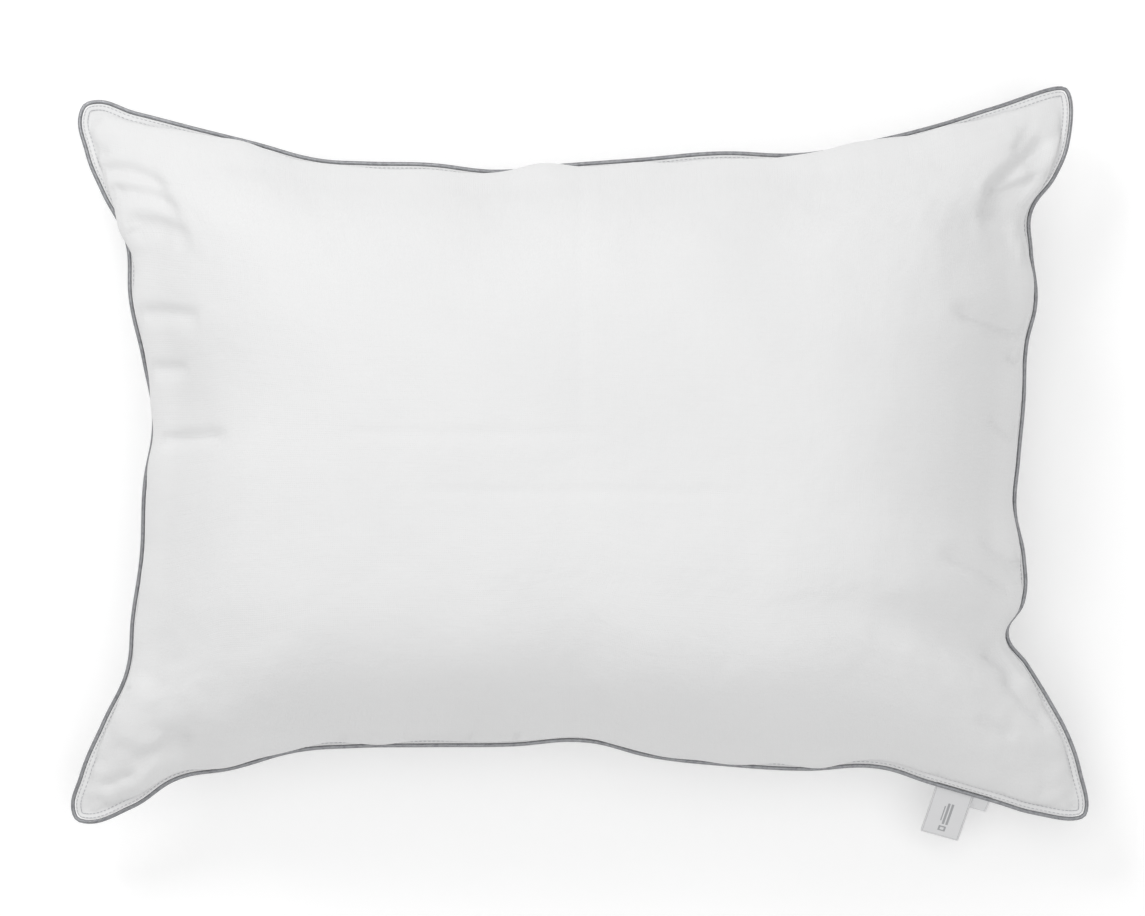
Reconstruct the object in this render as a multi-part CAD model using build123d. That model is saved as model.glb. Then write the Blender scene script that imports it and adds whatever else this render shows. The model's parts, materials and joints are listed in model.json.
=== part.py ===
from build123d import *

# A bed pillow lying flat: two cotton panels round a fibre fill, with a piped and topstitched
# seam all round, and two small labels sewn into that seam.  Millimetres, +Z up, +X along the
# long side.  The origin is the middle of the flat patch that the pillow rests on.

import math
import os
from itertools import combinations

# Overall size of the filled pillow as it lies
tip_to_tip_length = 681.0  # over the ears, along X
tip_to_tip_width = 493.0  # over the ears, along Y
crown_height = 190.0  # table to the top of the crown
seam_height = 76.0  # table to the seam, at the middle of a side
ear_droop = 30.0  # how much lower the seam is at the tip of an ear
under_depth = 112.0  # how deep the lower half would hang with no table under it
body_margin = 3.0  # how far the domed cloth sets out below the flange, so that it meets it cleanly

# Cloth
panel_cloth = 0.4  # cotton of the two panels
tape_cloth = 0.3  # satin tape round the piping
label_cloth = 0.25
fill_clearance = 0.4  # fibre to the inside of the panels

# Piped seam.  Every inset is measured inwards from the line of the piping's middle
piping_core_radius = 1.2
ear_blunt = 6.0  # how far back from its sharp corner an ear is rounded
rim_inset = 2.2  # folded edge of the panels
seam_stitch_inset = 3.0  # row that joins panels and tape
topstitch_inset = 6.0
tape_tail_inset = 6.8  # raw edge of the tape
body_inset = 6.0  # where the domed cloth sets out at the narrowest place of a side
ear_inset = 14.0  # the same in an ear
tab_gap = 0.5  # room under the tape where the labels are sewn in
seam_thread_radius = 0.18
topstitch_radius = 0.22
topstitch_sink = 0.1  # how far a stitch pulls into the cloth

# Labels
brand_label_width = 27.0
brand_label_length = 44.0
brand_label_droop = 42.0  # degrees below the flange's own slope
care_label_width = 13.0
care_label_length = 19.0
care_label_droop = 60.0
label_margin = 3.3  # from the run's corner to the first label
label_spacing = 1.5  # along the seam, between the two labels
label_tab_depth = 4.6  # how much of a label is held in the seam
tab_stand_off = 0.4  # from the panels' folded edge to the label as it turns down past it
hinge_drop = 0.9  # from the underside of the piping to the line that a label swings on
hinge_gap = 0.4  # from that line to the cloth on each side of it

piping_radius = piping_core_radius + tape_cloth
half_length = tip_to_tip_length / 2 - piping_radius
half_width = tip_to_tip_width / 2 - piping_radius

# The line of the piping seen from above, one list a side, as shares of the half length and half
# width.  Each list starts at an ear's sharp corner.  The sides draw in between the ears.
back_side = [
    (-0.991, 0.972), (-0.880, 0.936), (-0.762, 0.893), (-0.645, 0.852), (-0.520, 0.806),
    (-0.425, 0.797), (-0.300, 0.793), (-0.165, 0.774), (-0.040, 0.790), (0.117, 0.806),
    (0.270, 0.824), (0.440, 0.821), (0.564, 0.853), (0.700, 0.899), (0.819, 0.951),
]
right_side = [
    (0.967, 1.011), (0.966, 0.860), (0.939, 0.765), (0.890, 0.665), (0.890, 0.560),
    (0.899, 0.420), (0.880, 0.300), (0.874, 0.140), (0.864, -0.010), (0.857, -0.150),
    (0.875, -0.280), (0.874, -0.400), (0.860, -0.487), (0.883, -0.575), (0.928, -0.675),
    (0.967, -0.775), (0.990, -0.870),
]
front_side = [
    (1.004, -0.996), (0.900, -0.982), (0.823, -0.950), (0.691, -0.896), (0.588, -0.853),
    (0.440, -0.858), (0.285, -0.845), (0.140, -0.822), (0.010, -0.780), (-0.140, -0.791),
    (-0.300, -0.793), (-0.450, -0.796), (-0.560, -0.808), (-0.690, -0.857), (-0.799, -0.886),
    (-0.890, -0.965),
]
left_side = [
    (-1.008, -1.012), (-0.990, -0.880), (-0.943, -0.730), (-0.896, -0.590), (-0.884, -0.440),
    (-0.867, -0.280), (-0.860, -0.080), (-0.842, 0.090), (-0.862, 0.260), (-0.888, 0.420),
    (-0.898, 0.590), (-0.945, 0.720), (-0.978, 0.830),
]
sides = [back_side, right_side, front_side, left_side]

# Corners of the seam line, counted with the two that round off each ear passed on the way
label_run = len(back_side) + len(right_side) + 5  # both labels hang from the run that starts here
opening_start = len(back_side) + len(right_side) + len(front_side) + 7
opening_runs = 4  # runs left open for the filling and closed last
patch_ends = (-1, -0.8, 0, 0.8, 1)  # where the domed surface is divided, each way
arc_share = 0.45  # share of a run that each of its two arcs may take

# Half sizes of the domed body, at the waist of its sides and out in its ears
waist_x = half_length * min(abs(u) for u, v in left_side + right_side) - body_inset
waist_y = half_width * min(abs(v) for u, v in back_side + front_side) - body_inset
ear_x = half_length * min(abs(side[0][0]) for side in sides) - ear_inset
ear_y = half_width * min(abs(side[0][1]) for side in sides) - ear_inset


def seam_level(x, y):
    """Height of the seam above the table: level along the sides, lower in the ears."""
    return seam_height - ear_droop * (x / half_length) ** 2 * (y / half_width) ** 2


def inset_corners(inset):
    """The corners of the seam line moved inwards, as (x, y), with the ears still sharp."""
    corners = [Vector(u * half_length, v * half_width) for side in sides for u, v in side]
    moved = []
    for i, corner in enumerate(corners):
        before = (corner - corners[i - 1]).normalized()
        after = (corners[(i + 1) % len(corners)] - corner).normalized()
        inward = Vector(before.Y + after.Y, -before.X - after.X)
        moved.append(corner + inward * (inset / (1 + before.dot(after))))
    return moved


def rounded_points(inset):
    """The seam line moved inwards, with each ear's sharp corner cut back to two points."""
    corners = inset_corners(inset)
    ears = [sum(len(side) for side in sides[:i]) for i in range(len(sides))]
    points = []
    for i, corner in enumerate(corners):
        if i in ears:
            back = (corners[i - 1] - corner).normalized()
            onward = (corners[i + 1] - corner).normalized()
            points += [corner + back * ear_blunt, corner + onward * ear_blunt]
        else:
            points.append(corner)
    return points


def smooth_path(points, close=True):
    """Straight runs joined by the largest tangent arcs that fit them."""
    radii = []
    last = len(points) - 1
    for i, point in enumerate(points):
        if not close and i in (0, last):
            continue
        before = point - points[i - 1]
        after = points[(i + 1) % len(points)] - point
        turn = math.radians(before.get_angle(after))
        radii.append(arc_share * min(before.length, after.length) / math.tan(turn / 2))
    return FilletPolyline(*points, radius=radii, close=close)


def seam_path(inset, lift, first=0, count=None):
    """A path along the seam at its real height, whole or from one point to a later one."""
    points = [Vector(p.X, p.Y, seam_level(p.X, p.Y) + lift) for p in rounded_points(inset)]
    if count is None:
        return smooth_path(points)
    stretch = [points[(first + i) % len(points)] for i in range(count)]
    return smooth_path(stretch, close=False)


def rod(path, radius):
    """A round rod along a path, in two lengths that meet end to end."""
    edges = Wire(path.edges()).order_edges()
    half = len(edges) // 2
    lengths = [
        sweep(Plane(origin=run[0] @ 0, z_dir=run[0] % 0) * Circle(radius), path=Wire(run))
        for run in (edges[:half], edges[half:])
    ]
    return lengths[0] + lengths[1]


def column(inset):
    """An upright block with the seam's outline, taller than the pillow."""
    outline = make_face(smooth_path(rounded_points(inset)).edges())
    return Pos(0, 0, -crown_height) * extrude(outline, 3 * crown_height)


def seam_sheet(lift):
    """The curved sheet that the flange lies on, wider than the pillow, moved up by lift."""
    reach = 1.1
    sag = ear_droop * reach**4
    return Face.make_bezier_surface([
        [
            Vector(i * reach * half_length, j * reach * half_width,
                   seam_height + lift - sag * (1 if i else -1) * (1 if j else -1))
            for i in (-1, 0, 1)
        ]
        for j in (-1, 0, 1)
    ])


def layer(lift, thickness):
    """A layer of the seam: a block between the sheet moved up by lift and its copy above."""
    return Solid.extrude(seam_sheet(lift), Vector(0, 0, thickness))


def power(order, low, high):
    """The Bezier coefficients, at degree 4, of a power of a number that goes from low to high."""
    return [
        sum(math.prod(group) for group in combinations([low] * (4 - i) + [high] * i, order))
        / math.comb(4, order)
        for i in range(5)
    ]


def dome_patch(height, s_range, t_range):
    """One patch of the domed surface, over ranges of s along X and t along Y, both -1 to 1."""
    return Face.make_bezier_surface([
        [
            Vector(
                s1 * (waist_x + (ear_x - waist_x) * t4),
                t1 * (waist_y + (ear_y - waist_y) * s4),
                seam_height - ear_droop * s2 * t2 + height * (1 - s4) * (1 - t4),
            )
            for s1, s2, s4 in zip(*(power(order, *s_range) for order in (1, 2, 4)))
        ]
        for t1, t2, t4 in zip(*(power(order, *t_range) for order in (1, 2, 4)))
    ])


def dome_block(height, depth):
    """A block whose one face is the domed surface and whose other is that surface moved by depth."""
    spans = list(zip(patch_ends, patch_ends[1:]))
    blocks = [
        Solid.extrude(dome_patch(height, s_range, t_range), Vector(0, 0, depth))
        for s_range in spans
        for t_range in spans
    ]
    return blocks[0].fuse(*blocks[1:])


def above_table(level):
    """Everything above a level over the table."""
    side = 2 * tip_to_tip_length
    return Pos(0, 0, level) * Box(side, side, side, align=(Align.CENTER, Align.CENTER, Align.MIN))


# Heights in the seam, counted from the middle of the tape
upper_face = tape_cloth + 2 * panel_cloth  # each panel's edge is folded under, so it is double
lower_face = -tape_cloth - tab_gap - 2 * panel_cloth
crown_rise = crown_height - seam_height - upper_face + body_margin
rim = column(rim_inset)

# Upper panel: a dome with its folded edge lying in the seam
upper_dome = dome_block(crown_rise, -2 * crown_height)
upper_outside = Pos(0, 0, upper_face - body_margin) * upper_dome
upper_inside = Pos(0, 0, upper_face - panel_cloth - body_margin) * upper_dome
upper_flange = layer(tape_cloth, 2 * panel_cloth) & rim
upper_half = layer(tape_cloth, crown_height)
top_panel = upper_flange - upper_inside + ((upper_outside & upper_half) - upper_inside)

# Lower panel: the same, hanging, and pressed flat where it lies on the table
lower_dome = dome_block(-under_depth, 2 * crown_height)
lower_outside = Pos(0, 0, lower_face + body_margin) * lower_dome & above_table(0)
lower_inside = Pos(0, 0, lower_face + panel_cloth + body_margin) * lower_dome
lower_inside = lower_inside & above_table(panel_cloth)
lower_flange = layer(lower_face, 2 * panel_cloth) & rim
lower_half = layer(-tape_cloth - tab_gap - crown_height, crown_height)
bottom_panel = lower_flange - lower_inside + ((lower_outside & lower_half) - lower_inside)

# Fibre fill, a little clear of both panels
upper_fibre = Pos(0, 0, -fill_clearance) * upper_inside & layer(0, crown_height)
lower_fibre = Pos(0, 0, fill_clearance) * lower_inside & layer(-crown_height, crown_height)
fibre_fill = upper_fibre + lower_fibre

# Piping: a cord wrapped in satin tape, whose two raw edges run back into the seam as a tail
piping_line = seam_path(0, 0)
piping_cord = rod(piping_line, piping_core_radius)
tape_tail = layer(-tape_cloth, 2 * tape_cloth) & column(piping_radius - tape_cloth / 2)
piping_tape = rod(piping_line, piping_radius) - piping_cord + (tape_tail - column(tape_tail_inset))

# Threads.  The seam row runs all round but for the filling opening, which its own thread closes
corner_count = len(rounded_points(0))
seam_line = seam_path(seam_stitch_inset, 0, opening_start + opening_runs, corner_count - opening_runs + 1)
closing_line = seam_path(seam_stitch_inset, 0, opening_start, opening_runs + 1)
stitch_lift = topstitch_radius - topstitch_sink
seam_thread = rod(seam_line, seam_thread_radius)
closing_thread = rod(closing_line, seam_thread_radius)
needle_thread = rod(seam_path(topstitch_inset, upper_face + stitch_lift), topstitch_radius)
bobbin_thread = rod(seam_path(topstitch_inset, lower_face - stitch_lift), topstitch_radius)


def label_frame(width, before):
    """The place of a label on its run of the seam: x outwards, y along the seam, z up.

    Args:
        width: the label's width along the seam.
        before: how much of the run comes before the label.
    """
    points = rounded_points(0)
    start, end = (
        Vector(p.X, p.Y, seam_level(p.X, p.Y)) for p in points[label_run:label_run + 2]
    )
    run = (end - start).normalized()
    middle = start + run * (before + width / 2)
    middle = Vector(middle.X, middle.Y, seam_level(middle.X, middle.Y))
    outward = Vector(-run.Y, run.X).normalized() * label_tab_depth
    inner, outer = middle - outward, middle + outward
    slope = seam_level(outer.X, outer.Y) - seam_level(inner.X, inner.Y)
    across = Vector(2 * outward.X, 2 * outward.Y, slope)
    return Plane(origin=middle, x_dir=across, z_dir=run.cross(across))


def label(width, length, droop, frame):
    """The hanging leaf of a label and the tab that holds it in the seam."""
    hinge_z = -piping_radius - hinge_drop
    leaf = Box(length, width, label_cloth, align=(Align.MIN, Align.CENTER, Align.CENTER))
    leaf = frame.location * Pos(0, 0, hinge_z) * Rot(0, droop, 0) * Pos(hinge_gap, 0, 0) * leaf
    tab_z = -tape_cloth - tab_gap / 2
    turn_x = -rim_inset + tab_stand_off
    half = label_cloth / 2
    outline = Polyline(
        (turn_x - label_tab_depth, tab_z - half), (turn_x - half, tab_z - half),
        (turn_x - half, hinge_z - half), (-hinge_gap, hinge_z - half),
        (-hinge_gap, hinge_z + half), (turn_x + half, hinge_z + half),
        (turn_x + half, tab_z + half), (turn_x - label_tab_depth, tab_z + half),
        close=True,
    )
    tab = extrude(Plane.XZ * make_face(outline), width / 2, both=True)
    return leaf, frame.location * tab


care_frame = label_frame(care_label_width, label_margin)
brand_frame = label_frame(brand_label_width, label_margin + care_label_width + label_spacing)
care_label, care_label_tab = label(
    care_label_width, care_label_length, care_label_droop, care_frame
)
brand_label, brand_label_tab = label(
    brand_label_width, brand_label_length, brand_label_droop, brand_frame
)

nodes = {
    "top_panel": top_panel,
    "bottom_panel": bottom_panel,
    "fibre_fill": fibre_fill,
    "piping_cord": piping_cord,
    "piping_tape": piping_tape,
    "seam_thread": seam_thread,
    "closing_thread": closing_thread,
    "topstitch_needle_thread": needle_thread,
    "topstitch_bobbin_thread": bobbin_thread,
    "brand_label": brand_label,
    "brand_label_tab": brand_label_tab,
    "care_label": care_label,
    "care_label_tab": care_label_tab,
}
os.makedirs("parts", exist_ok=True)
for name, shape in nodes.items():
    export_step(shape, "parts/" + name + ".step")
print("length of the piping", round(piping_line.length, 1))
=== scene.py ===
"""A bed pillow lying flat: cotton casing, fibre fill, piped and topstitched seam, two sewn-in labels."""
import json
import logging
import math
from dataclasses import asdict, dataclass, field
from enum import Enum

import bmesh
import bpy
from mathutils import Matrix, Vector, noise
from mathutils.kdtree import KDTree


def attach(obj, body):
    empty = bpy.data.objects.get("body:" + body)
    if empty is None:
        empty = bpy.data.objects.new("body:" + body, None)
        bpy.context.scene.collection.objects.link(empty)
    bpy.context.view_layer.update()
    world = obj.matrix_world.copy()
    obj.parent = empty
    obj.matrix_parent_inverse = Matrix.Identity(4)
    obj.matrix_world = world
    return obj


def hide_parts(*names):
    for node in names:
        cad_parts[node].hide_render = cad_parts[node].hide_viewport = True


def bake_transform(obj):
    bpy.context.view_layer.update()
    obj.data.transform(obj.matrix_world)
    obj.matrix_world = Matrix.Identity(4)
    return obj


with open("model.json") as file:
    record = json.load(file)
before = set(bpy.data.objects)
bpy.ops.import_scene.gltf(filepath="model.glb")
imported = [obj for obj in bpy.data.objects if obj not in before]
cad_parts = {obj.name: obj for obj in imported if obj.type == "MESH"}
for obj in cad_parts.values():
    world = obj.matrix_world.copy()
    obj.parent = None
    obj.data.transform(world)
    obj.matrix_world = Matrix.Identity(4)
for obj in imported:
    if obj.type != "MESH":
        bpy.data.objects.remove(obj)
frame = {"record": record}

logging.basicConfig(level=logging.INFO, format="%(relativeCreated)d ms: %(message)s")
log = logging.getLogger("pillow")
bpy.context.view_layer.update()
MM = 0.001
UP = Vector((0, 0, 1))
PILLOW = "pillow"


class Side(Enum):
    """The two panels of the casing."""

    TOP = 1
    BOTTOM = -1

    @property
    def number(self) -> int:
        """The material index that marks this panel's faces in the casing."""
        return 0 if self is Side.TOP else 1


class Marking(Enum):
    """What is woven into a label inside its outline."""

    SQUARE_AND_BARS = "a hollow square and three bars"
    NONE = "nothing"


# ---------------------------------------------------------------- finishes


class Finish:
    """A material under construction: its node tree, its shader and short ways to add nodes."""

    def __init__(self, name: str, colour: tuple, roughness: float, **sockets: float) -> None:
        """Start a material.

        Args:
            name: the finish in a maker's words.
            colour: base colour, linear red, green and blue.
            roughness: of the shader.
            sockets: other shader sockets, with _ for a space.
        """
        self.material = bpy.data.materials.new(name)
        self.material.use_nodes = True
        self.tree = self.material.node_tree
        self.shader = self.tree.nodes["Principled BSDF"]
        self.shader.inputs["Base Color"].default_value = (*colour, 1)
        self.shader.inputs["Roughness"].default_value = roughness
        for socket, value in sockets.items():
            self.shader.inputs[socket.replace("_", " ")].default_value = value

    def node(self, kind: str, **settings: object) -> bpy.types.Node:
        """Add a node and set its properties."""
        made = self.tree.nodes.new(kind)
        for key, value in settings.items():
            setattr(made, key, value)
        return made

    def link(self, start: bpy.types.NodeSocket, end: bpy.types.NodeSocket) -> None:
        """Join two sockets."""
        self.tree.links.new(start, end)

    def place(self, scale: tuple = (1, 1, 1), turn: float = 0, uv: bool = True) -> bpy.types.NodeSocket:
        """Coordinates for a pattern.

        Args:
            scale: along each axis.
            turn: degrees about the third axis.
            uv: the piece's own UV map, in metres of cloth, or else Object coordinates.

        Returns:
            The socket with the coordinates.
        """
        source = self.node("ShaderNodeTexCoord")
        mapping = self.node("ShaderNodeMapping")
        mapping.inputs["Scale"].default_value = scale
        mapping.inputs["Rotation"].default_value = (0, 0, math.radians(turn))
        self.link(source.outputs["UV" if uv else "Object"], mapping.inputs["Vector"])
        return mapping.outputs["Vector"]

    def noise(self, place: bpy.types.NodeSocket, scale: float, detail: float = 2) -> bpy.types.NodeSocket:
        """A cloudy pattern of that many clouds a metre."""
        made = self.node("ShaderNodeTexNoise")
        made.inputs["Scale"].default_value = scale
        made.inputs["Detail"].default_value = detail
        self.link(place, made.inputs["Vector"])
        return made.outputs["Fac"]

    def bands(self, place: bpy.types.NodeSocket, scale: float, axis: str = "X") -> bpy.types.NodeSocket:
        """Even bands across an axis, with about three bands to each unit of scale."""
        made = self.node("ShaderNodeTexWave", wave_type="BANDS", bands_direction=axis)
        made.inputs["Scale"].default_value = scale
        self.link(place, made.inputs["Vector"])
        return made.outputs["Fac"]

    def mix(self, kind: str, first: object, second: object) -> bpy.types.NodeSocket:
        """A Math node of two sockets or numbers."""
        made = self.node("ShaderNodeMath", operation=kind)
        for socket, value in zip(made.inputs, (first, second)):
            if isinstance(value, (int, float)):
                socket.default_value = value
            else:
                self.link(value, socket)
        return made.outputs[0]

    def tint(self, factor: bpy.types.NodeSocket, low: tuple, high: tuple, span: tuple = (0, 1)) -> None:
        """Colour the shader from low to high as a factor goes over a span."""
        ramp = self.node("ShaderNodeValToRGB")
        for stop, place, colour in zip(ramp.color_ramp.elements, span, (low, high)):
            stop.position = place
            stop.color = (*colour, 1)
        self.link(factor, ramp.inputs["Fac"])
        self.link(ramp.outputs["Color"], self.shader.inputs["Base Color"])

    def bump(self, *heights: tuple) -> None:
        """Chain bumps, each a (socket, depth in metres)."""
        last = None
        for height, depth in heights:
            made = self.node("ShaderNodeBump")
            made.inputs["Distance"].default_value = depth
            made.inputs["Strength"].default_value = 1
            self.link(height, made.inputs["Height"])
            if last is not None:
                self.link(last, made.inputs["Normal"])
            last = made.outputs["Normal"]
        self.link(last, self.shader.inputs["Normal"])


@dataclass(frozen=True)
class Percale:
    """Plain-woven white cotton, with faint slubs and creases from packing."""

    white: tuple = (0.785, 0.786, 0.787)
    shade: tuple = (0.757, 0.758, 0.760)
    weave_scale: float = 198.9437  # ribs about 1.6 mm apart
    slub_scales: tuple = ((25, 700, 1), (700, 25, 1))
    cloud_scale: float = 9
    crumple_scale: float = 60

    def make(self) -> bpy.types.Material:
        """Build the material."""
        cloth = Finish("percale_cotton", self.white, 0.86, Sheen_Weight=0.25, Sheen_Roughness=0.45,
                       Specular_IOR_Level=0.25)
        flat = cloth.place()
        weave = cloth.mix("MULTIPLY", *(cloth.bands(flat, self.weave_scale, axis) for axis in "XY"))
        slubs = cloth.mix("ADD", *(cloth.noise(cloth.place(scale), 1.0, 3) for scale in self.slub_scales))
        cloud = cloth.noise(flat, self.cloud_scale, 4)
        cloth.tint(cloth.mix("ADD", cloth.mix("MULTIPLY", cloud, 0.7), cloth.mix("MULTIPLY", slubs, 0.15)),
                   self.shade, self.white, (0.3, 0.65))
        crumple = cloth.noise(flat, self.crumple_scale, 5)
        cloth.bump((weave, 0.00006), (slubs, 0.00012), (crumple, 0.0006), (cloud, 0.002))
        return cloth.material


@dataclass(frozen=True)
class BiasSatin:
    """Silver-grey satin tape cut on the bias, wrapped tight round the piping's cord."""

    dark: tuple = (0.17, 0.173, 0.183)
    light: tuple = (0.37, 0.375, 0.39)

    def make(self) -> bpy.types.Material:
        """Build the material."""
        tape = Finish("bias_satin_tape", self.light, 0.34, Metallic=0.55, Sheen_Weight=0.15,
                      Sheen_Roughness=0.3, Specular_IOR_Level=0.6)
        twill = tape.bands(tape.place((1, 1, 1), 45, uv=False), 420)
        crinkle = tape.noise(tape.place((1, 1, 0.3), 30, uv=False), 420, 3)
        tape.tint(tape.mix("ADD", tape.mix("MULTIPLY", twill, 0.3), tape.mix("MULTIPLY", crinkle, 0.7)),
                  self.dark, self.light, (0.25, 0.6))
        tape.bump((twill, 0.00005), (crinkle, 0.00025))
        return tape.material


@dataclass(frozen=True)
class SpunThread:
    """Twisted sewing thread; its default grey is painted shade of the groove and needle holes the stitches
    sit in.
    """

    name: str = "white_thread_with_painted_shade"
    # grey, not white: painted shade of the stitch groove and needle holes
    colour: tuple = (0.56, 0.57, 0.59)

    def make(self) -> bpy.types.Material:
        """Build the material."""
        thread = Finish(self.name, self.colour, 0.5, Sheen_Weight=0.3, Specular_IOR_Level=0.4)
        ply = thread.bands(thread.place((1, 1, 1), 35, uv=False), 900)
        fuzz = thread.noise(thread.place(uv=False), 2500, 2)
        dark = tuple(0.8 * c for c in self.colour)
        thread.tint(thread.mix("MULTIPLY", ply, fuzz), dark, self.colour, (0.1, 0.5))
        thread.bump((ply, 0.0001))
        return thread.material


@dataclass(frozen=True)
class LooseFibre:
    """Fine white polyester fibre, matted together."""

    white: tuple = (0.86, 0.86, 0.85)
    shade: tuple = (0.7, 0.7, 0.69)

    def make(self) -> bpy.types.Material:
        """Build the material."""
        fibre = Finish("polyester_fibre", self.white, 0.95, Sheen_Weight=0.5)
        place = fibre.place(uv=False)
        tufts = fibre.noise(place, 45, 6)
        hairs = fibre.noise(fibre.place((1, 9, 1), 30, uv=False), 300, 6)
        fibre.tint(fibre.mix("MULTIPLY", tufts, hairs), self.shade, self.white, (0.1, 0.4))
        fibre.bump((tufts, 0.008), (hairs, 0.0015))
        return fibre.material


@dataclass(frozen=True)
class LabelCloth:
    """Woven label satin with a thin woven outline, and a plain mark where it has one."""

    name: str
    width: float
    length: float
    white: tuple = (0.80, 0.80, 0.81)
    grey: tuple = (0.27, 0.275, 0.29)
    roughness: float = 0.42
    marking: Marking = Marking.SQUARE_AND_BARS
    margin: float = 0.0011
    line: float = 0.00022

    def _bar(self, cloth: Finish, u: object, v: object, box: tuple) -> bpy.types.NodeSocket:
        """One where a place lies in a box (middle u, middle v, half length, half width), else nothing."""
        reach = [cloth.mix("LESS_THAN", cloth.mix("ABSOLUTE", cloth.mix("SUBTRACT", place, middle), 0), half)
                 for place, middle, half in ((u, box[0], box[2]), (v, box[1], box[3]))]
        return cloth.mix("MULTIPLY", *reach)

    def make(self) -> bpy.types.Material:
        """Build the material."""
        satin = Finish(self.name, self.white, self.roughness, Sheen_Weight=0.3)
        ribs = satin.bands(satin.place(), 700, "Y")
        floats = satin.noise(satin.place((3000, 300, 1)), 1.0, 2)
        shade = tuple(0.93 * c for c in self.white)
        parts = satin.node("ShaderNodeSeparateXYZ")
        satin.link(satin.place(), parts.inputs["Vector"])
        u, v = parts.outputs["X"], parts.outputs["Y"]
        middle, half_width = self.length / 2, self.width / 2
        outer = self._bar(satin, u, v, (middle, 0, middle - self.margin, half_width - self.margin))
        inner = self._bar(satin, u, v, (middle, 0, middle - self.margin - self.line,
                                        half_width - self.margin - self.line))
        marks = satin.mix("SUBTRACT", outer, inner)
        if self.marking is Marking.SQUARE_AND_BARS:
            far = self.length
            for box in ((far - 0.0085, 0, 0.0026, 0.0026), (far - 0.023, 0.0022, 0.0100, 0.0008),
                        (far - 0.023, -0.0004, 0.0100, 0.0008), (far - 0.023, -0.0026, 0.0070, 0.0004)):
                marks = satin.mix("MAXIMUM", marks, self._bar(satin, u, v, box))
            marks = satin.mix("SUBTRACT", marks, self._bar(satin, u, v, (far - 0.0085, 0, 0.0013, 0.0013)))
        weave = satin.node("ShaderNodeMixRGB")
        weave.inputs["Color1"].default_value = (*shade, 1)
        weave.inputs["Color2"].default_value = (*self.white, 1)
        satin.link(satin.mix("MULTIPLY", ribs, floats), weave.inputs["Fac"])
        woven = satin.node("ShaderNodeMixRGB")
        woven.inputs["Color2"].default_value = (*self.grey, 1)
        satin.link(weave.outputs["Color"], woven.inputs["Color1"])
        satin.link(satin.mix("MULTIPLY", satin.mix("MAXIMUM", marks, 0), 0.8), woven.inputs["Fac"])
        satin.link(woven.outputs["Color"], satin.shader.inputs["Base Color"])
        satin.bump((ribs, 0.00003), (floats, 0.00005), (marks, 0.00004))
        return satin.material


# ---------------------------------------------------------------- mesh helpers


def add_piece(name: str, mesh: bpy.types.Mesh,
              material: bpy.types.Material | None = None) -> bpy.types.Object:
    """Put a mesh in the scene as a piece, smooth, with its finish.

    Args:
        name: of the piece.
        mesh: its mesh, in place.
        material: its finish.

    Returns:
        The new object, at the origin.
    """
    mesh.name = name
    piece = bpy.data.objects.new(name, mesh)
    bpy.context.scene.collection.objects.link(piece)
    mesh.shade_smooth()
    if material is not None:
        mesh.materials.clear()
        mesh.materials.append(material)
    return piece


def mesh_from(bm: bmesh.types.BMesh, name: str) -> bpy.types.Mesh:
    """Turn a bmesh into a mesh and free it."""
    mesh = bpy.data.meshes.new(name)
    bm.to_mesh(mesh)
    bm.free()
    return mesh


def evaluated_mesh(piece: bpy.types.Object) -> bpy.types.Mesh:
    """A copy of a piece's mesh with its modifiers applied."""
    graph = bpy.context.evaluated_depsgraph_get()
    return bpy.data.meshes.new_from_object(piece.evaluated_get(graph), depsgraph=graph)


def add_modifier(piece: bpy.types.Object, kind: str, **settings: object) -> bpy.types.Modifier:
    """Add a modifier and set its properties."""
    modifier = piece.modifiers.new(kind.lower(), kind)
    for key, value in settings.items():
        setattr(modifier, key, value)
    return modifier


def curve_mesh(curve: bpy.types.Curve) -> bpy.types.Mesh:
    """Turn a curve into a mesh and remove it."""
    holder = bpy.data.objects.new(curve.name, curve)
    bpy.context.scene.collection.objects.link(holder)
    mesh = evaluated_mesh(holder)
    bpy.data.objects.remove(holder)
    bpy.data.curves.remove(curve)
    return mesh


def tube(name: str, points: list[Vector], radius: float, sides: int, cyclic: bool = True) -> bpy.types.Mesh:
    """A round tube along points, as the mesh of a bevelled curve.

    Args:
        name: of the mesh.
        points: the middle of the tube.
        radius: of the tube.
        sides: round its section, a multiple of 4.
        cyclic: whether it closes on itself.

    Returns:
        The mesh.
    """
    curve = bpy.data.curves.new(name, "CURVE")
    curve.dimensions = "3D"
    curve.bevel_depth = radius
    curve.bevel_resolution = sides // 4 - 1 if sides > 4 else 0
    curve.use_fill_caps = not cyclic
    line = curve.splines.new("POLY")
    line.points.add(len(points) - 1)
    for spot, point in zip(line.points, points):
        spot.co = (*point, 1)
    line.use_cyclic_u = cyclic
    return curve_mesh(curve)


def evenly(points: list[Vector], count: int) -> list[Vector]:
    """Points at even distances round a closed line.

    Args:
        points: round the line.
        count: how many to return.

    Returns:
        The new points; the first is where the line starts.
    """
    ring = points + points[:1]
    lengths = [0.0]
    for a, b in zip(ring, ring[1:]):
        lengths.append(lengths[-1] + (b - a).length)
    spread, i = [], 0
    for k in range(count):
        want = lengths[-1] * k / count
        while lengths[i + 1] < want:
            i += 1
        share = (want - lengths[i]) / max(lengths[i + 1] - lengths[i], 1e-12)
        spread.append(ring[i].lerp(ring[i + 1], share))
    return spread


# ---------------------------------------------------------------- the seam


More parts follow.
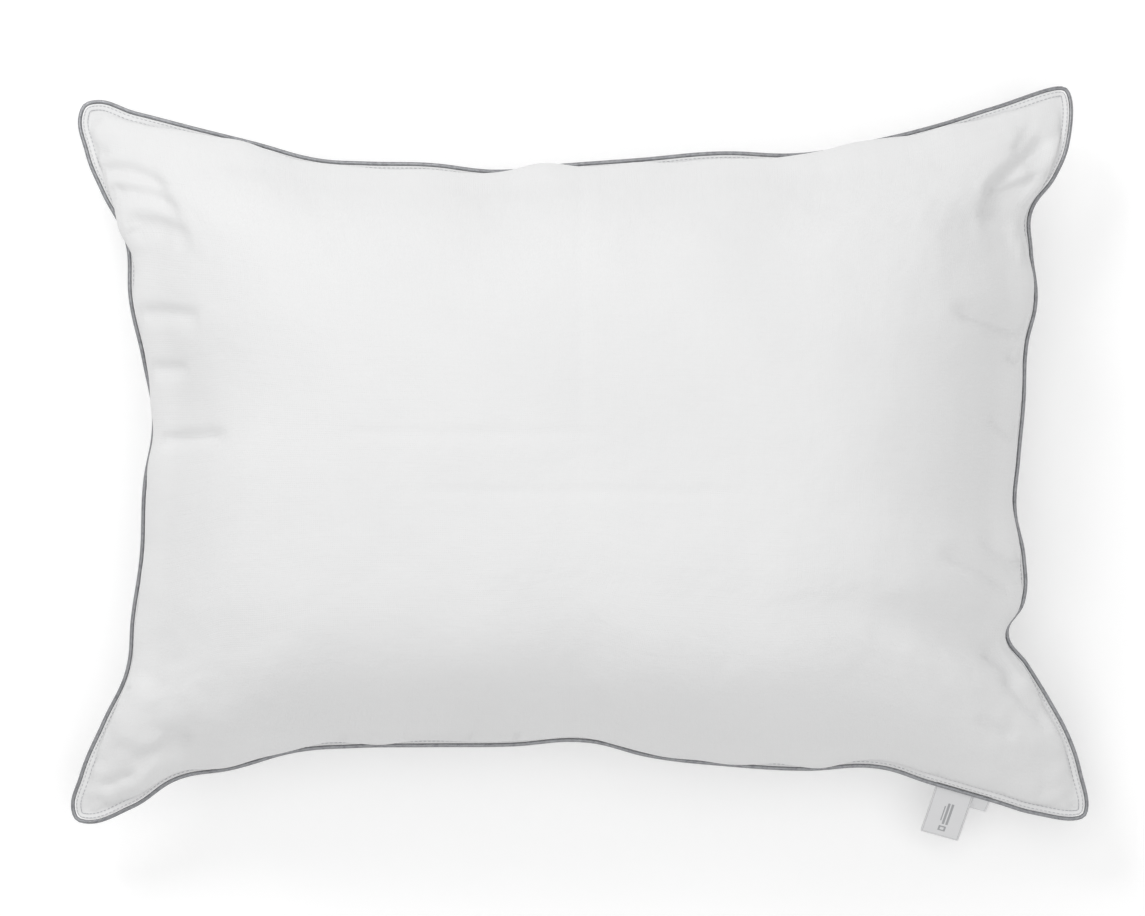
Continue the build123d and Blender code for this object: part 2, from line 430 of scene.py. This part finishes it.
@dataclass
class Seam:
    """The line of the piping's middle, all round the pillow, and places measured from it."""

    half_length: float = 0.339
    half_width: float = 0.245
    height: float = 0.076
    ear_droop: float = 0.030
    ear_blunts: tuple = (0.006, 0.0035, 0.0035, 0.006)
    samples: int = 2400
    normal_reach: int = 6  # samples each way that an inward normal is taken over
    back: list = field(default_factory=lambda: [
        (-0.991, 0.972), (-0.880, 0.936), (-0.762, 0.893), (-0.645, 0.852), (-0.520, 0.806),
        (-0.425, 0.797), (-0.300, 0.793), (-0.165, 0.774), (-0.040, 0.790), (0.117, 0.806),
        (0.270, 0.824), (0.440, 0.821), (0.564, 0.853), (0.700, 0.899), (0.819, 0.951),
    ])
    right: list = field(default_factory=lambda: [
        (0.967, 1.011), (0.966, 0.860), (0.939, 0.765), (0.890, 0.665), (0.890, 0.560),
        (0.899, 0.420), (0.880, 0.300), (0.874, 0.140), (0.864, -0.010), (0.857, -0.150),
        (0.875, -0.280), (0.874, -0.400), (0.842, -0.487), (0.883, -0.575), (0.928, -0.675),
        (0.967, -0.775), (0.990, -0.870),
    ])
    front: list = field(default_factory=lambda: [
        (1.004, -0.996), (0.900, -0.982), (0.823, -0.950), (0.691, -0.896), (0.588, -0.853),
        (0.440, -0.858), (0.285, -0.845), (0.140, -0.822), (0.010, -0.780), (-0.140, -0.791),
        (-0.300, -0.793), (-0.450, -0.796), (-0.560, -0.808), (-0.690, -0.857), (-0.799, -0.886),
        (-0.890, -0.965),
    ])
    left: list = field(default_factory=lambda: [
        (-1.008, -1.012), (-0.990, -0.880), (-0.943, -0.730), (-0.896, -0.590), (-0.884, -0.440),
        (-0.867, -0.280), (-0.860, -0.080), (-0.842, 0.090), (-0.862, 0.260), (-0.888, 0.420),
        (-0.898, 0.590), (-0.945, 0.720), (-0.978, 0.830),
    ])

    def __post_init__(self) -> None:
        """Work out the smooth line, its inward normals and where its ears are."""
        sides = [[Vector((u * self.half_length, v * self.half_width, 0)) for u, v in side]
                 for side in (self.back, self.right, self.front, self.left)]
        sharp = [corner for side in sides for corner in side]
        tips = [side[0] for side in sides]
        route = []
        for i, corner in enumerate(sharp):
            if corner in tips:
                blunt = self.ear_blunts[tips.index(corner)]
                for other in (sharp[i - 1], sharp[(i + 1) % len(sharp)]):
                    route.append(corner + (other - corner).normalized() * blunt)
            else:
                route.append(corner)
        self.line = evenly(self._smooth(route), self.samples)
        for point in self.line:
            point.z = self.level(point.x, point.y)
        self.inward = []
        for i in range(self.samples):
            along = self.line[(i + self.normal_reach) % self.samples] - self.line[i - self.normal_reach]
            self.inward.append(Vector((along.y, -along.x, 0)).normalized())
        self.ears = [min(range(self.samples), key=lambda k: (self.line[k].xy - tip.xy).length)
                     for tip in tips]
        self.length = sum((self.line[i] - self.line[i - 1]).length for i in range(self.samples))

    def _smooth(self, route: list[Vector]) -> list[Vector]:
        """A smooth closed curve through points, finely divided."""
        curve = bpy.data.curves.new("route", "CURVE")
        curve.dimensions = "3D"
        curve.resolution_u = 24
        line = curve.splines.new("BEZIER")
        line.bezier_points.add(len(route) - 1)
        for spot, point in zip(line.bezier_points, route):
            spot.co = point
            spot.handle_left_type = spot.handle_right_type = "AUTO"
        line.use_cyclic_u = True
        mesh = curve_mesh(curve)
        points = [v.co.copy() for v in mesh.vertices]
        bpy.data.meshes.remove(mesh)
        return points

    def level(self, x: float, y: float) -> float:
        """Height of the seam above the table: level along the sides, lower in the ears."""
        return self.height - self.ear_droop * (x / self.half_length) ** 2 * (y / self.half_width) ** 2

    def at(self, index: int, inset: float = 0, lift: float = 0) -> Vector:
        """A place on the seam, moved inwards and up."""
        i = index % self.samples
        return self.line[i] + self.inward[i] * inset + UP * lift

    def ring(self, inset: float, lift: float = 0, step: int = 1) -> list[Vector]:
        """The whole seam moved inwards and up, every so many samples."""
        return [self.at(i, inset, lift) for i in range(0, self.samples, step)]

    def tree(self, inset: float) -> KDTree:
        """The whole seam moved inwards, to look up by place."""
        tree = KDTree(self.samples)
        for i, point in enumerate(self.ring(inset)):
            tree.insert(point, i)
        tree.balance()
        return tree

    def to_ear(self, spot: Vector) -> float:
        """The distance from a place to the nearest ear's tip."""
        return min((spot - self.at(ear)).length for ear in self.ears)


# ---------------------------------------------------------------- the casing and its fill


@dataclass(frozen=True)
class Crease:
    """A soft fold pressed into the cloth between two places, steep on its left and slack on its right."""

    start: tuple
    end: tuple
    depth: float
    width: float
    bow: float = 0
    overrun: float = 0.15  # how far past its ends it fades out, as a share of its length
    slack: float = 0.6

    def push(self, point: Vector) -> float:
        """How far the cloth at a point sinks, or rises where the depth is negative."""
        a, b = Vector(self.start), Vector(self.end)
        along = b - a
        share = (point.xy - a).dot(along) / along.length_squared
        if not -self.overrun < share < 1 + self.overrun:
            return 0
        normal = Vector((-along.y, along.x)).normalized()
        middle = a + along * share + normal * self.bow * 4 * share * (1 - share)
        distance = (point.xy - middle).dot(normal) / self.width
        distance *= self.slack if distance < 0 else 1
        ends = (share + self.overrun, 1 + self.overrun - share)
        fade = max(0.0, min(1.0, *(end / (2 * self.overrun) for end in ends)))
        return self.depth * fade * fade * (3 - 2 * fade) * math.exp(-distance * distance)


@dataclass(frozen=True)
class Bulge:
    """A place by the seam where the fibre pushes the cloth out further, or less far if negative."""

    place: tuple
    reach: float
    extra: float

    def push(self, point: Vector) -> float:
        """How much further out the cloth goes at a point."""
        return self.extra * math.exp(-((point.xy - Vector(self.place)).length / self.reach) ** 2)


@dataclass(frozen=True)
class ClothRun:
    """How the casing's cloth is run. The names are the cloth settings' own."""

    quality: int = 5
    mass: float = 0.02
    tension_stiffness: float = 40
    compression_stiffness: float = 40
    shear_stiffness: float = 12
    bending_stiffness: float = 0.05
    air_damping: float = 4
    use_pressure: bool = True
    uniform_pressure_force: float = 14
    vertex_group_mass: str = "seam"
    pin_stiffness: float = 1


@dataclass
class Casing:
    """The two cotton panels, blown up by their fill inside a seam that holds their edges."""

    seam: Seam
    flat_length: float = 0.711
    flat_width: float = 0.508
    cells_long: int = 120
    cells_wide: int = 86
    stitch_inset: float = 0.0060
    stitch_lift: float = 0.0009
    # inset and lift of each row of the flange, out to the folded rim and back under
    flange: tuple = ((0.0045, 0.0011), (0.0030, 0.0013), (0.0016, 0.0011), (0.0016, 0.0003),
                     (0.0045, 0.0003))
    cloth: float = 0.0004
    crown: float = 0.190
    start_height: float = 0.9  # share of the crown that the upper cloth is placed at
    start_depth: float = 0.1
    start_gap: float = 0.002  # least height over the table to begin with
    start_squareness: float = 3.4
    frames: int = 30
    run: ClothRun = ClothRun()
    contact: float = 0.001  # cloth to table while it runs
    fullness: float = 1.5
    shoulder: float = 0.03  # how far in from the stitching the shoulders reach
    bulge: float = 0.0078
    flat_ear: float = 0.09  # how far from its tip an ear stays flatter
    gather: float = 0.0028
    crumpled_ear: float = 0.11
    crumples: tuple = ((26, 0.0006, 0.0026), (75, 0, 0.0019))  # fineness, depth, more depth in ears
    crease_fade: float = 0.006
    creases: tuple = ()
    bulges: tuple = ()

    def _between_sides(self) -> list[list[int]]:
        """Seam samples along each side of the domed cloth, from ear to ear."""
        ears, whole = self.seam.ears, self.seam.samples
        sides = []
        for number in range(4):
            count = (self.cells_long, self.cells_wide)[number % 2]
            span = (ears[(number + 1) % 4] - ears[number]) % whole
            sides.append([round(ears[number] + span * k / count) % whole for k in range(count + 1)])
        return sides

    def _grid(self) -> bmesh.types.BMesh:
        """Both panels as flat grids from -1 to 1, sharing their edge, the lower one turned over."""
        bm = bmesh.new()
        uv = bm.loops.layers.uv.new("UVMap")
        for side in Side:
            bmesh.ops.create_grid(bm, x_segments=self.cells_long, y_segments=self.cells_wide, size=1)
            fresh = [f for f in bm.faces if f.material_index == 0 and not f.tag]
            for face in fresh:
                face.tag = True
                face.material_index = side.number
            if side is Side.BOTTOM:
                bmesh.ops.reverse_faces(bm, faces=fresh)
        for face in bm.faces:
            for loop in face.loops:
                loop[uv].uv = (loop.vert.co.x * self.flat_length / 2, loop.vert.co.y * self.flat_width / 2)
        edge = [v for v in bm.verts if max(abs(v.co.x), abs(v.co.y)) > 1 - 1e-6]
        bmesh.ops.remove_doubles(bm, verts=edge, dist=1e-5)
        return bm

    def _settle(self) -> bpy.types.Mesh:
        """The closed casing as it lies: placed on the seam, then blown up as cloth."""
        numbers = self._between_sides()
        numbers[1].reverse()
        numbers[2].reverse()
        back, right, front, left = ([self.seam.at(i, self.stitch_inset) for i in side] for side in numbers)
        bm = self._grid()
        mark = bm.verts.layers.int.new("seam_place")
        flat = [v.co.copy() for v in bm.verts]
        over, under = ({v for f in bm.faces if f.material_index == side.number for v in f.verts}
                       for side in Side)
        pins = []
        for i, v in enumerate(bm.verts):
            s, t = (v.co.x + 1) / 2, (v.co.y + 1) / 2
            a, b = round(s * self.cells_long), round(t * self.cells_wide)
            across = left[b].lerp(right[b], s)
            along = front[a].lerp(back[a], t)
            low, high = front[0].lerp(front[-1], s), back[0].lerp(back[-1], s)
            spot = across + along - low.lerp(high, t)
            swell = math.prod(1 - abs(way) ** self.start_squareness for way in v.co.xy)
            if v in under and v in over:
                pins.append(i)
                v[mark] = (numbers[3][b] if a == 0 else numbers[1][b] if a == self.cells_long
                           else numbers[0][a] if b else numbers[2][a])
            elif v in over:
                spot.z += (self.crown - self.seam.height) * self.start_height * swell
            else:
                spot.z = max(self.start_gap, spot.z - self.start_depth * swell)
            v.co = spot
        mesh = mesh_from(bm, "casing")
        body = add_piece("casing", mesh)
        self._blow_up(body, flat, pins)
        settled = evaluated_mesh(body)
        bpy.data.objects.remove(body)
        self._fill_out(settled)
        return settled

    def _fill_out(self, settled: bpy.types.Mesh) -> None:
        """Press the crown down to its height and push the shoulders up and out, as fibre does.

        Args:
            settled: the closed casing; its vertices move.
        """
        seam, tree = self.seam, self.seam.tree(self.stitch_inset)
        heights = [v.co.z for v in settled.vertices]
        low, top = min(heights), max(heights)
        for v in settled.vertices:
            level = seam.level(v.co.x, v.co.y)
            spot, index, distance = tree.find(v.co)
            if v.co.z < level:
                v.co.z = level - (level - v.co.z) * level / (level - low)
            else:
                share = min(1.0, (v.co.z - level) / (top - seam.height))
                v.co.z = level + (self.crown - seam.height) * (1 - (1 - share) ** self.fullness)
            near = distance / self.shoulder
            if 0 < near < 1:
                push = self.bulge * (1 + 0.5 * noise.noise(Vector((index * 0.03, 0, 0))))
                push += sum(bulge.push(v.co) for bulge in self.bulges)
                flatness = min(1.0, seam.to_ear(spot) / self.flat_ear)
                v.co -= seam.inward[index] * push * flatness * math.sin(math.pi * near ** 0.6) ** 1.2

    def _blow_up(self, body: bpy.types.Object, flat: list[Vector], pins: list[int]) -> None:
        """Run the cloth with its true flat size, its edge held, over the table.

        Args:
            body: the closed casing.
            flat: each vertex's place on the flat grid, from -1 to 1.
            pins: the vertices held in the seam.
        """
        scene = bpy.context.scene
        body.shape_key_add(name="as placed")
        cut = body.shape_key_add(name="flat cut")
        for spot, place in zip(cut.data, flat):
            spot.co = (place.x * (self.flat_length / 2 - self.stitch_inset),
                       place.y * (self.flat_width / 2 - self.stitch_inset), 0)
        held = body.vertex_groups.new(name="seam")
        held.add(pins, 1, "REPLACE")
        table_bm = bmesh.new()
        bmesh.ops.create_grid(table_bm, x_segments=1, y_segments=1, size=1)
        table = add_piece("table", mesh_from(table_bm, "table"))
        add_modifier(table, "COLLISION")
        table.collision.thickness_outer = self.contact
        cloth = add_modifier(body, "CLOTH")
        for key, value in asdict(self.run).items():
            setattr(cloth.settings, key, value)
        cloth.settings.effector_weights.gravity = 0
        cloth.settings.rest_shape_key = cut
        cloth.collision_settings.distance_min = self.contact
        cloth.collision_settings.use_self_collision = False
        cloth.point_cache.frame_start, cloth.point_cache.frame_end = 1, self.frames
        scene.frame_start, scene.frame_end = 1, self.frames
        for number in range(1, self.frames + 1):
            scene.frame_set(number)
        settled = evaluated_mesh(body)
        body.modifiers.clear()
        body.shape_key_clear()
        old = body.data
        body.data = settled
        bpy.data.meshes.remove(old)
        bpy.data.objects.remove(table)

    def build(self) -> bpy.types.Mesh:
        """Make both panels.

        Returns:
            The settled closed casing, which the fill follows.
        """
        settled = self._settle()
        cotton = Percale().make()
        for side in Side:
            self._panel(settled, side, cotton)
        return settled

    def _panel(self, settled: bpy.types.Mesh, side: Side, cotton: bpy.types.Material) -> None:
        """Cut one panel out of the casing and give it its flange, fold and thickness."""
        seam = self.seam
        bm = bmesh.new()
        bm.from_mesh(settled)
        other = [f for f in bm.faces if f.material_index != side.number]
        bmesh.ops.delete(bm, geom=other, context="FACES")
        for face in bm.faces:
            face.material_index = 0
        bm.normal_update()
        up = side.value
        mark = bm.verts.layers.int["seam_place"]
        edges = [e for e in bm.edges if e.is_boundary]
        for v in {v for e in edges for v in e.verts}:
            v.co.z += self.stitch_lift * up
        for inset, lift in self.flange:
            grown = bmesh.ops.extrude_edge_only(bm, edges=edges)["geom"]
            edges = [g for g in grown if isinstance(g, bmesh.types.BMEdge)]
            for v in {g for g in grown if isinstance(g, bmesh.types.BMVert)}:
                v.co = seam.at(v[mark], inset, lift * up)
        bmesh.ops.recalc_face_normals(bm, faces=bm.faces)
        crown = max(bm.faces, key=lambda f: f.calc_center_median().z * up)
        if crown.normal.z * up < 0:
            bmesh.ops.reverse_faces(bm, faces=bm.faces)
        name = "top_panel_cloth" if side is Side.TOP else "bottom_panel_cloth"
        panel = add_piece(name, mesh_from(bm, name), cotton)
        add_modifier(panel, "SUBSURF", levels=1, render_levels=1)
        fine = evaluated_mesh(panel)
        panel.modifiers.clear()
        panel.data = fine
        self._crease(fine, side)
        add_modifier(panel, "SOLIDIFY", thickness=self.cloth, offset=-1)
        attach(panel, PILLOW)
        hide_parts("top_panel" if side is Side.TOP else "bottom_panel")
        log.info("%s: %d faces", name, len(panel.data.polygons))

    def _crease(self, fine: bpy.types.Mesh, side: Side) -> None:
        """Press the creases into a panel and gather it a little along its stitching.

        Args:
            fine: the panel; its vertices move along their normals.
            side: which panel it is.
        """
        seam, tree = self.seam, self.seam.tree(self.stitch_inset)
        moves = []
        for v in fine.vertices:
            spot, index, distance = tree.find(v.co)
            inside = (v.co - spot).dot(seam.inward[index]) > 0 and distance > 0.0005
            move = 0.0
            if inside:
                along = index * seam.length / seam.samples
                ear = seam.to_ear(spot)
                gather = self.gather * (0.35 + 0.65 * math.exp(-(ear / self.flat_ear) ** 2))
                fade = (1 - math.exp(-distance / 0.002)) * math.exp(-distance / 0.022)
                move += gather * fade * noise.noise(Vector((along * 95, distance * 12, side.value)))
                inner = 1 - math.exp(-distance / 0.01)
                crumple = math.exp(-(ear / self.crumpled_ear) ** 2)
                for fineness, depth, more in self.crumples:
                    move += inner * noise.noise(v.co * fineness) * (depth + more * crumple)
            if side is Side.TOP and inside:
                pressed = sum(crease.push(v.co) for crease in self.creases)
                move -= pressed * (1 - math.exp(-distance / self.crease_fade))
            moves.append(move)
        normals = [n.vector.copy() for n in fine.vertex_normals]
        for v, normal, move in zip(fine.vertices, normals, moves):
            v.co += normal * move


@dataclass
class Fill:
    """The fibre that fills the casing, a little inside the cloth."""

    seam: Seam
    gap: float = 0.005
    ear_gap: float = 0.016
    ear_reach: float = 0.035
    edge_reach: float = 0.05  # how far in from the stitching the fill thins out
    thinning: float = 0.35
    lump: float = 0.0008
    lumps_per_metre: float = 60
    stitch_inset: float = 0.006
    creases: tuple = ()

    def build(self, settled: bpy.types.Mesh) -> None:
        """Make the fill.

        Args:
            settled: the closed casing that it follows.
        """
        bm = bmesh.new()
        bm.from_mesh(settled)
        bm.normal_update()
        seam, tree = self.seam, self.seam.tree(self.stitch_inset)
        for v in bm.verts:
            spot, index, distance = tree.find(v.co)
            near = max(0.0, 1 - distance / self.edge_reach)
            pull = (self.gap + self.ear_gap * math.exp(-(seam.to_ear(spot) / self.ear_reach) ** 2)) * near
            lump = noise.noise(v.co * self.lumps_per_metre) * self.lump
            level = seam.level(v.co.x, v.co.y)
            sunk = sum(max(0, crease.push(v.co)) for crease in self.creases) if v.co.z > level else 0
            v.co -= v.normal * (self.gap * (1 - near) + lump + sunk * 1.1)
            v.co += seam.inward[index] * pull
            v.co.z = level + (v.co.z - level) * (1 - self.thinning * near)
        for face in bm.faces:
            face.material_index = 0
        fill = add_piece("fibre_fill_mass", mesh_from(bm, "fill"), LooseFibre().make())
        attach(fill, PILLOW)
        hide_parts("fibre_fill")
        log.info("fibre_fill_mass: %d faces", len(fill.data.polygons))


# ---------------------------------------------------------------- piping and stitches


@dataclass
class Piping:
    """A cord wrapped in bias satin tape, sewn in all round."""

    seam: Seam
    core_radius: float = 0.0011
    radius: float = 0.00138
    sides: int = 12

    def build(self) -> None:
        """Make the wrapped cord and the cord inside it."""
        line = self.seam.ring(0, step=3)
        tape = add_piece("piping_satin", tube("piping_satin", line, self.radius, self.sides),
                         BiasSatin().make())
        core = add_piece("piping_core", tube("piping_core", line, self.core_radius, 8),
                         SpunThread("cotton_cord", (0.8, 0.79, 0.76)).make())
        for piece, node, slot in ((tape, "piping_tape", "satin_tape"), (core, "piping_cord", "cord")):
            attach(piece, PILLOW)
            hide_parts(node)
        log.info("piping: %.3f m round", self.seam.length)


@dataclass
class StitchRow:
    """A row of single stitches that follows the seam."""

    seam: Seam
    name: str
    node: str
    inset: float
    lift: float
    pitch: float = 0.0030
    length: float = 0.0022
    radius: float = 0.00024
    first: float = 0  # where it starts and ends, as shares of the way round
    last: float = 1

    def build(self, material: bpy.types.Material) -> None:
        """Make the row as one piece.

        Args:
            material: the thread's finish.
        """
        seam = self.seam
        count = round(seam.length / self.pitch)
        single = bmesh.new()
        bmesh.ops.create_uvsphere(single, u_segments=6, v_segments=4, radius=1,
                                  matrix=Matrix.Rotation(math.radians(90), 4, "Y"))
        stitch = mesh_from(single, "stitch")
        faces_each = len(stitch.polygons)
        bm = bmesh.new()
        for k in range(round(count * self.first), round(count * self.last)):
            middle = k * seam.samples / count
            reach = self.length / 2 / seam.length * seam.samples
            a, b = (seam.at(round(middle + side * reach), self.inset, self.lift) for side in (-1, 1))
            along = (b - a).normalized()
            across = along.cross(UP).normalized()
            turn = Matrix((along, across, along.cross(across))).transposed().to_4x4()
            shape = Matrix.Diagonal((self.length / 2, self.radius, self.radius, 1))
            placed = stitch.copy()
            placed.transform(Matrix.Translation((a + b) / 2) @ turn @ shape)
            bm.from_mesh(placed)
            bpy.data.meshes.remove(placed)
        bpy.data.meshes.remove(stitch)
        row = add_piece(self.name, mesh_from(bm, self.name), material)
        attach(row, PILLOW)
        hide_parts(self.node)
        log.info("%s: %d stitches", self.name, len(row.data.polygons) // faces_each)


# ---------------------------------------------------------------- labels


@dataclass
class Label:
    """A woven label sewn into the seam, hung from a line under the piping."""

    name: str
    joint: str
    width: float
    length: float
    droop: float
    curl: float
    finish: LabelCloth
    slot: str
    shift: float = 0
    cloth: float = 0.00025
    tab: float = 0.0046  # held in the seam
    tab_depth: float = 0.0018  # from the tab's end to the hinge, across
    tab_rise: float = 0.0019
    turn: float = 0.003  # run of the bend between tab and hinge
    bend: float = 0.004  # run past the hinge
    cells: tuple = (26, 10)

    def _axes(self) -> tuple:
        """The hinge's place and the label's directions: outwards, along the seam and up."""
        joint = next(j for j in frame["record"]["behaviour"]["joints"] if j["name"] == self.joint)
        along = -Vector(joint["axis"]).normalized()
        outward = along.cross(UP).normalized()
        return Vector(joint["pos_m"]), outward, along, outward.cross(along)

    def build(self) -> None:
        """Make the label as a thin sheet that bends from the seam down to its free end."""
        hinge, outward, along, up = self._axes()
        total = self.tab + self.turn + self.length
        bm = bmesh.new()
        bmesh.ops.create_grid(bm, x_segments=self.cells[0], y_segments=self.cells[1], size=0.5)
        uv = bm.loops.layers.uv.new("UVMap")
        for face in bm.faces:
            for loop in face.loops:
                loop[uv].uv = ((loop.vert.co.x + 0.5) * total, loop.vert.co.y * self.width)
        for v in bm.verts:
            run, side = (v.co.x + 0.5) * total, v.co.y * self.width
            v.co = hinge + along * (side + self.shift) + self._path(run, side, outward, up)
        piece = add_piece(self.name, mesh_from(bm, self.name), self.finish.make())
        add_modifier(piece, "SUBSURF", levels=1, render_levels=1)
        add_modifier(piece, "SOLIDIFY", thickness=self.cloth, offset=0)
        node = self.joint.replace("_flap", "")
        bent = self._path(self.tab + self.turn + self.bend, 0, outward, up)
        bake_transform(piece)
        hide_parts(node, node + "_tab")
        log.info("%s: %.0f x %.0f mm", self.name, self.width / MM, total / MM)

    def _path(self, run: float, side: float, outward: Vector, up: Vector) -> Vector:
        """Where the label is, a distance along it from its end in the seam."""
        if run < self.tab:
            return outward * (run - self.tab - self.tab_depth) + up * self.tab_rise
        if run < self.tab + self.turn:
            left = 1 - (run - self.tab) / self.turn
            return outward * (-self.tab_depth * left) + up * (self.tab_rise * left ** 2)
        out, drop, steps = 0.0, 0.0, 12
        rest = run - self.tab - self.turn
        for k in range(steps):
            share = (k + 0.5) / steps * rest / self.length
            angle = math.radians(self.droop + self.curl * (share - 0.5) * 2)
            out += math.cos(angle) * rest / steps
            drop += math.sin(angle) * rest / steps
        wave = 0.0004 * math.sin(side / self.width * 5 + run * 90) * rest / self.length
        return outward * out - UP * drop + up * wave


# ---------------------------------------------------------------- the studio


@dataclass
class Studio:
    """A pale table, soft light from the back left and a camera straight above."""

    camera_height: float = 5.0
    view_width: float = 0.767
    target: tuple = (-0.0054, -0.0020, 0.07)
    sky: float = 0.53
    # name, place, size and power
    lamps: tuple = (("overhead", (0.2, -0.2, 2.2), 2.6, 23), ("key", (-1.1, 1.7, 1.7), 1.0, 20))

    def build(self) -> None:
        """Make the table, the lights, the sky and the camera."""
        scene = bpy.context.scene
        bm = bmesh.new()
        bmesh.ops.create_grid(bm, x_segments=1, y_segments=1, size=6)
        table = Finish("pale_table", (0.97, 0.97, 0.97), 0.95, Specular_IOR_Level=0.1, Emission_Strength=0.10)
        floor = add_piece("floor", mesh_from(bm, "floor"), table.material)
        for lamp in self.lamps:
            self._light(*lamp)
        world = bpy.data.worlds.new("sky")
        world.use_nodes = True
        background = world.node_tree.nodes["Background"]
        background.inputs["Color"].default_value = (1, 1, 1, 1)
        background.inputs["Strength"].default_value = self.sky
        scene.world = world
        scene.view_settings.view_transform = "Standard"
        lens = bpy.data.cameras.new("camera")
        lens.sensor_width = 36
        lens.lens = lens.sensor_width * (self.camera_height - self.target[2]) / self.view_width
        lens.clip_end = 50
        camera = bpy.data.objects.new("camera", lens)
        scene.collection.objects.link(camera)
        camera.location = (self.target[0], self.target[1], self.camera_height)
        scene.camera = camera

    def _light(self, name: str, place: tuple, size: float, power: float) -> None:
        """Add a square soft light that faces the pillow."""
        lamp = bpy.data.lights.new(name, "AREA")
        lamp.size, lamp.energy = size, power
        holder = bpy.data.objects.new(name, lamp)
        holder.location = place
        holder.rotation_euler = (Vector((0, 0, 0.1)) - Vector(place)).to_track_quat("-Z", "Y").to_euler()
        bpy.context.scene.collection.objects.link(holder)


# ---------------------------------------------------------------- the whole pillow


CREASES = (
    Crease((-0.322, 0.191), (-0.278, 0.179), 0.0050, 0.0042, 0.005),
    Crease((-0.319, 0.176), (-0.270, 0.163), 0.0056, 0.0048, 0.006),
    Crease((-0.306, 0.155), (-0.262, 0.146), 0.0036, 0.0060, 0.003),
    Crease((-0.330, 0.207), (-0.318, 0.202), 0.0026, 0.0028),
    Crease((-0.296, 0.095), (-0.255, 0.092), 0.0036, 0.0045, 0.001),
    Crease((-0.289, 0.058), (-0.262, 0.057), 0.0030, 0.0040),
    Crease((-0.290, 0.010), (-0.238, 0.014), 0.0042, 0.0032),
    Crease((0.272, 0.175), (0.318, 0.212), 0.0070, 0.0050, 0.002),
    Crease((0.268, 0.160), (0.310, 0.187), 0.0060, 0.0050, 0.002),
    Crease((0.300, 0.204), (0.312, 0.218), 0.0026, 0.0030),
    Crease((0.302, 0.193), (0.314, 0.203), 0.0022, 0.0030),
    Crease((0.291, 0.204), (0.303, 0.222), 0.0026, 0.0030),
    Crease((0.298, 0.128), (0.285, 0.153), -0.0032, 0.0032),
    Crease((0.301, 0.080), (0.250, 0.095), 0.0046, 0.0046, 0.002),
    Crease((0.297, 0.056), (0.284, 0.068), 0.0030, 0.0030),
    Crease((0.290, 0.010), (0.272, 0.024), 0.0026, 0.0034),
    Crease((0.296, -0.078), (0.268, -0.057), 0.0032, 0.0040),
    Crease((0.292, -0.094), (0.242, -0.066), 0.0042, 0.0046, -0.002),
    Crease((0.294, -0.150), (0.270, -0.130), 0.0060, 0.0050, -0.001),
    Crease((0.313, -0.180), (0.283, -0.148), 0.0048, 0.0042, 0.001),
    Crease((0.288, -0.188), (0.264, -0.177), 0.0030, 0.0030),
    Crease((0.330, -0.219), (0.309, -0.228), 0.0024, 0.0036),
    Crease((-0.161, -0.190), (-0.014, -0.190), 0.0020, 0.0045, 0.001),
    Crease((-0.300, -0.207), (-0.262, -0.190), 0.0030, 0.0050, 0.001),
    Crease((-0.322, -0.222), (-0.300, -0.214), 0.0030, 0.0032),
    Crease((-0.312, -0.190), (-0.290, -0.150), -0.0028, 0.0060, 0.002),
    Crease((-0.154, 0.015), (0.013, 0.015), 0.0005, 0.0030),
    Crease((-0.101, -0.023), (0.100, -0.024), 0.0005, 0.0030),
    Crease((0.000, 0.190), (0.001, 0.017), 0.0005, 0.0030),
)
BULGES = (
    Bulge((-0.030, 0.190), 0.022, 0.006),
    Bulge((0.174, 0.200), 0.026, 0.006),
    Bulge((-0.303, 0.154), 0.018, 0.006),
    Bulge((-0.288, 0.028), 0.022, 0.006),
    Bulge((0.250, -0.215), 0.060, -0.007),
    Bulge((-0.110, 0.197), 0.050, -0.003),
    Bulge((0.080, 0.197), 0.050, -0.003),
    Bulge((-0.080, -0.200), 0.070, -0.002),
)


def main() -> None:
    """Build every piece in order, then the studio."""
    seam = Seam()
    log.info("seam: %.3f m round", seam.length)
    settled = Casing(seam, creases=CREASES, bulges=BULGES).build()
    Fill(seam, creases=CREASES).build(settled)
    Piping(seam).build()
    # the stitches' grey thread is painted shade of their groove and needle holes
    thread = SpunThread().make()
    for row in (
        StitchRow(seam, "topstitches_above", "topstitch_needle_thread", 0.0055, 0.0014),
        StitchRow(seam, "topstitches_below", "topstitch_bobbin_thread", 0.0055, -0.0016),
        StitchRow(seam, "seam_stitches", "seam_thread", 0.0028, 0.0013, first=0.906, last=1.834),
        StitchRow(seam, "closing_stitches", "closing_thread", 0.0028, 0.0013, first=0.834, last=0.906),
    ):
        row.build(thread)
    Label("brand_label_sheet", "brand_label_flap", 0.027, 0.046, 42, 8,
          LabelCloth("label_satin", 0.027, 0.0536), "label_satin", shift=0.0025).build()
    Label("care_label_sheet", "care_label_flap", 0.013, 0.019, 60, 10,
          LabelCloth("care_tape", 0.013, 0.0266, roughness=0.6, marking=Marking.NONE), "care_cloth").build()
    Studio().build()


if __name__ == "__main__":
    main()
